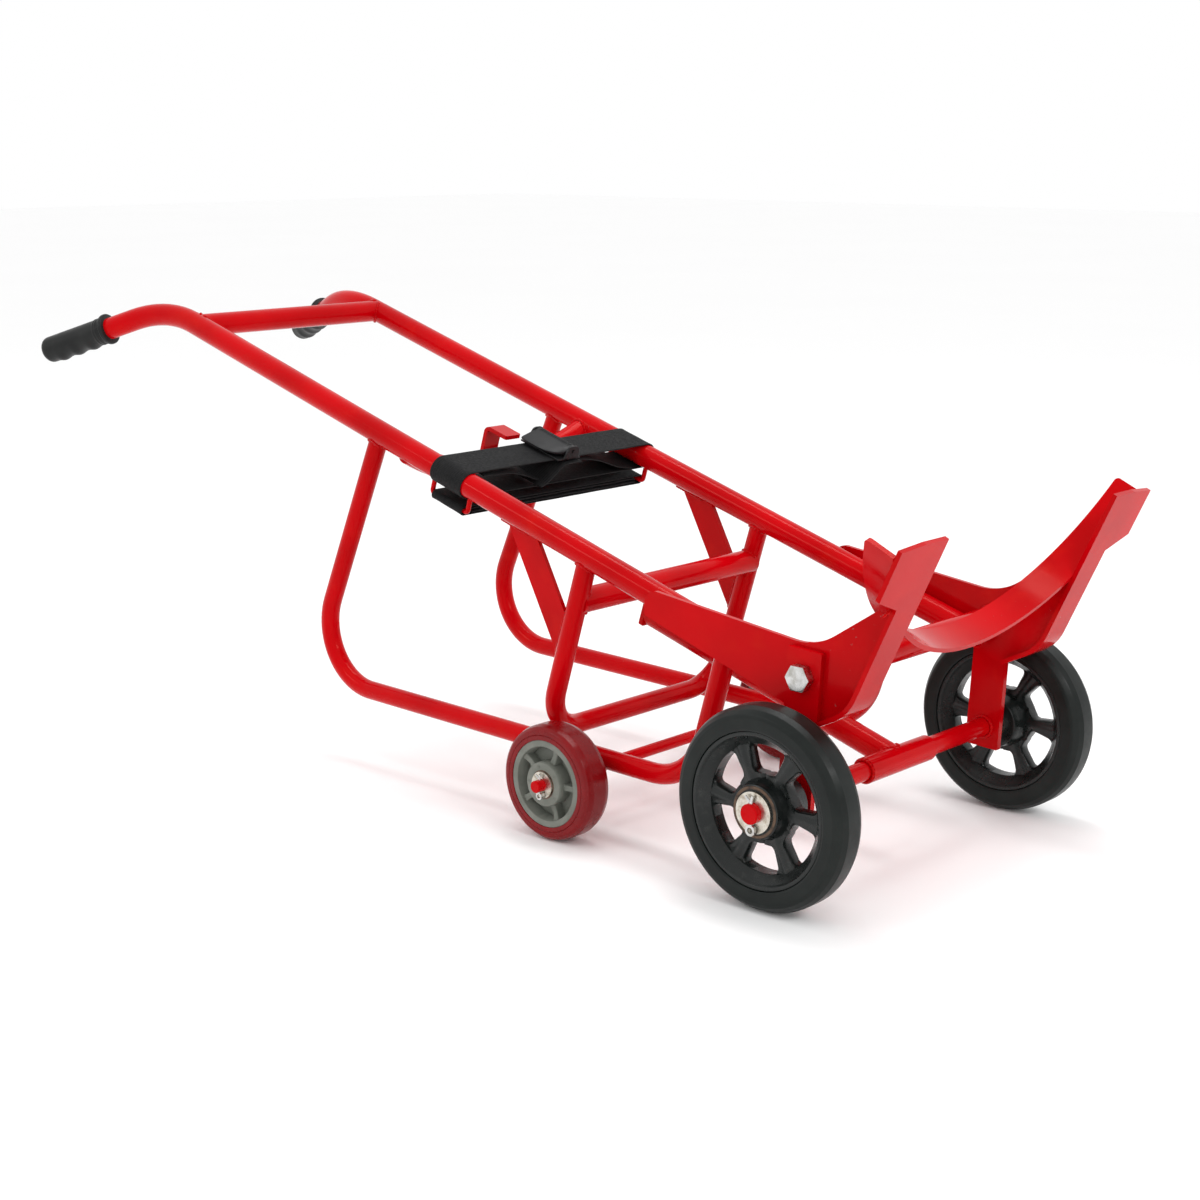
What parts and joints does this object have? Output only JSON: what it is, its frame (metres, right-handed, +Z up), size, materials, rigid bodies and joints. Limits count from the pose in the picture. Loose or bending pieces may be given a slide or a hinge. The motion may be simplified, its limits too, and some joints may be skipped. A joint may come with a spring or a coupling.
{
  "type": "hand truck",
  "caption": "Welded tubular hand truck for steel drums, with curved cradle, toes, strap, front wheels and smaller rear support wheels.",
  "frame": {"origin": "on the floor under the middle of the truck's length and width, all wheels standing on the floor", "axes": "+X from the handles towards the drum cradle, +Y to the truck's left, +Z up"},
  "size_m": [1.6582, 0.598, 0.6418],
  "materials": {
    "rail_paint": "gloss red enamel",
    "loop_paint": "gloss red enamel",
    "cradle_paint": "gloss red enamel",
    "band_paint": "gloss red enamel",
    "axle_plate_paint": "gloss red enamel",
    "axle_paint": "gloss red enamel on steel bar",
    "grip": "satin dark grey",
    "tyre": "satin black rubber",
    "cast_centre": "gloss black on cast iron",
    "bearing": "dull, greased",
    "washer_steel": "zinc plated",
    "zinc": "zinc plated",
    "tread": "satin deep red polyurethane",
    "rear_centre": "grey moulded nylon",
    "webbing": "black woven webbing",
    "buckle": "satin black",
    "buckle_lever": "satin black"
  },
  "bodies": {
    "frame": {"rail_left": "rail_paint", "grip_left": "grip", "side_loop_left": "loop_paint", "strut_left": "loop_paint", "cradle_plate_left": "cradle_paint", "toe_bar_left": "cradle_paint", "toe_ear_left": "cradle_paint", "axle_plate_left": "axle_plate_paint", "cradle_bolt_left": "zinc", "strap_bracket_left": "rail_paint", "front_spacer_left": "zinc", "front_washer_left": "washer_steel", "front_split_pin_left": "zinc", "rear_spacer_left": "zinc", "rear_washer_left": "washer_steel", "rear_split_pin_left": "zinc", "rail_right": "rail_paint", "grip_right": "grip", "side_loop_right": "loop_paint", "strut_right": "loop_paint", "cradle_plate_right": "cradle_paint", "toe_bar_right": "cradle_paint", "toe_ear_right": "cradle_paint", "axle_plate_right": "axle_plate_paint", "cradle_bolt_right": "zinc", "strap_bracket_right": "rail_paint", "front_spacer_right": "zinc", "front_washer_right": "washer_steel", "front_split_pin_right": "zinc", "rear_spacer_right": "zinc", "rear_washer_right": "washer_steel", "rear_split_pin_right": "zinc", "handle_crossbar": "rail_paint", "mid_cross_tube": "rail_paint", "drum_hook": "rail_paint", "front_cross_tube": "rail_paint", "u_frame": "loop_paint", "u_cross_tube": "loop_paint", "keel_tube": "loop_paint", "keel_end_plate": "loop_paint", "cradle_band": "band_paint", "front_axle": "axle_paint", "axle_sleeve": "axle_paint", "rear_axle": "axle_paint", "strap_upper": "webbing", "strap_lower": "webbing", "strap_tail": "webbing", "buckle_frame": "buckle", "buckle_pin": "buckle"},
    "front_wheel_left": {"front_tyre_left": "tyre", "front_hub_left": "cast_centre", "front_bearing_left": "bearing"},
    "rear_wheel_left": {"rear_tread_left": "tread", "rear_hub_left": "rear_centre"},
    "front_wheel_right": {"front_tyre_right": "tyre", "front_hub_right": "cast_centre", "front_bearing_right": "bearing"},
    "rear_wheel_right": {"rear_tread_right": "tread", "rear_hub_right": "rear_centre"},
    "buckle_lever_body": {"buckle_lever": "buckle_lever"}
  },
  "joints": [
    {"name": "front_wheel_left_spin", "type": "hinge", "parent": "frame", "child": "front_wheel_left", "pos_m": [0.6405, 0.2575, 0.125], "axis": [0, 1, 0], "continuous": true},
    {"name": "rear_wheel_left_spin", "type": "hinge", "parent": "frame", "child": "rear_wheel_left", "pos_m": [0.2795, 0.244, 0.077], "axis": [0, 1, 0], "continuous": true},
    {"name": "front_wheel_right_spin", "type": "hinge", "parent": "frame", "child": "front_wheel_right", "pos_m": [0.6405, -0.2575, 0.125], "axis": [0, 1, 0], "continuous": true},
    {"name": "rear_wheel_right_spin", "type": "hinge", "parent": "frame", "child": "rear_wheel_right", "pos_m": [0.2795, -0.244, 0.077], "axis": [0, 1, 0], "continuous": true},
    {"name": "buckle_lever_lift", "type": "hinge", "parent": "frame", "child": "buckle_lever_body", "pos_m": [0.03924, 0.008, 0.47021], "axis": [-0.9563, 0, 0.2924], "range_deg": [0, 110]}
  ]
}
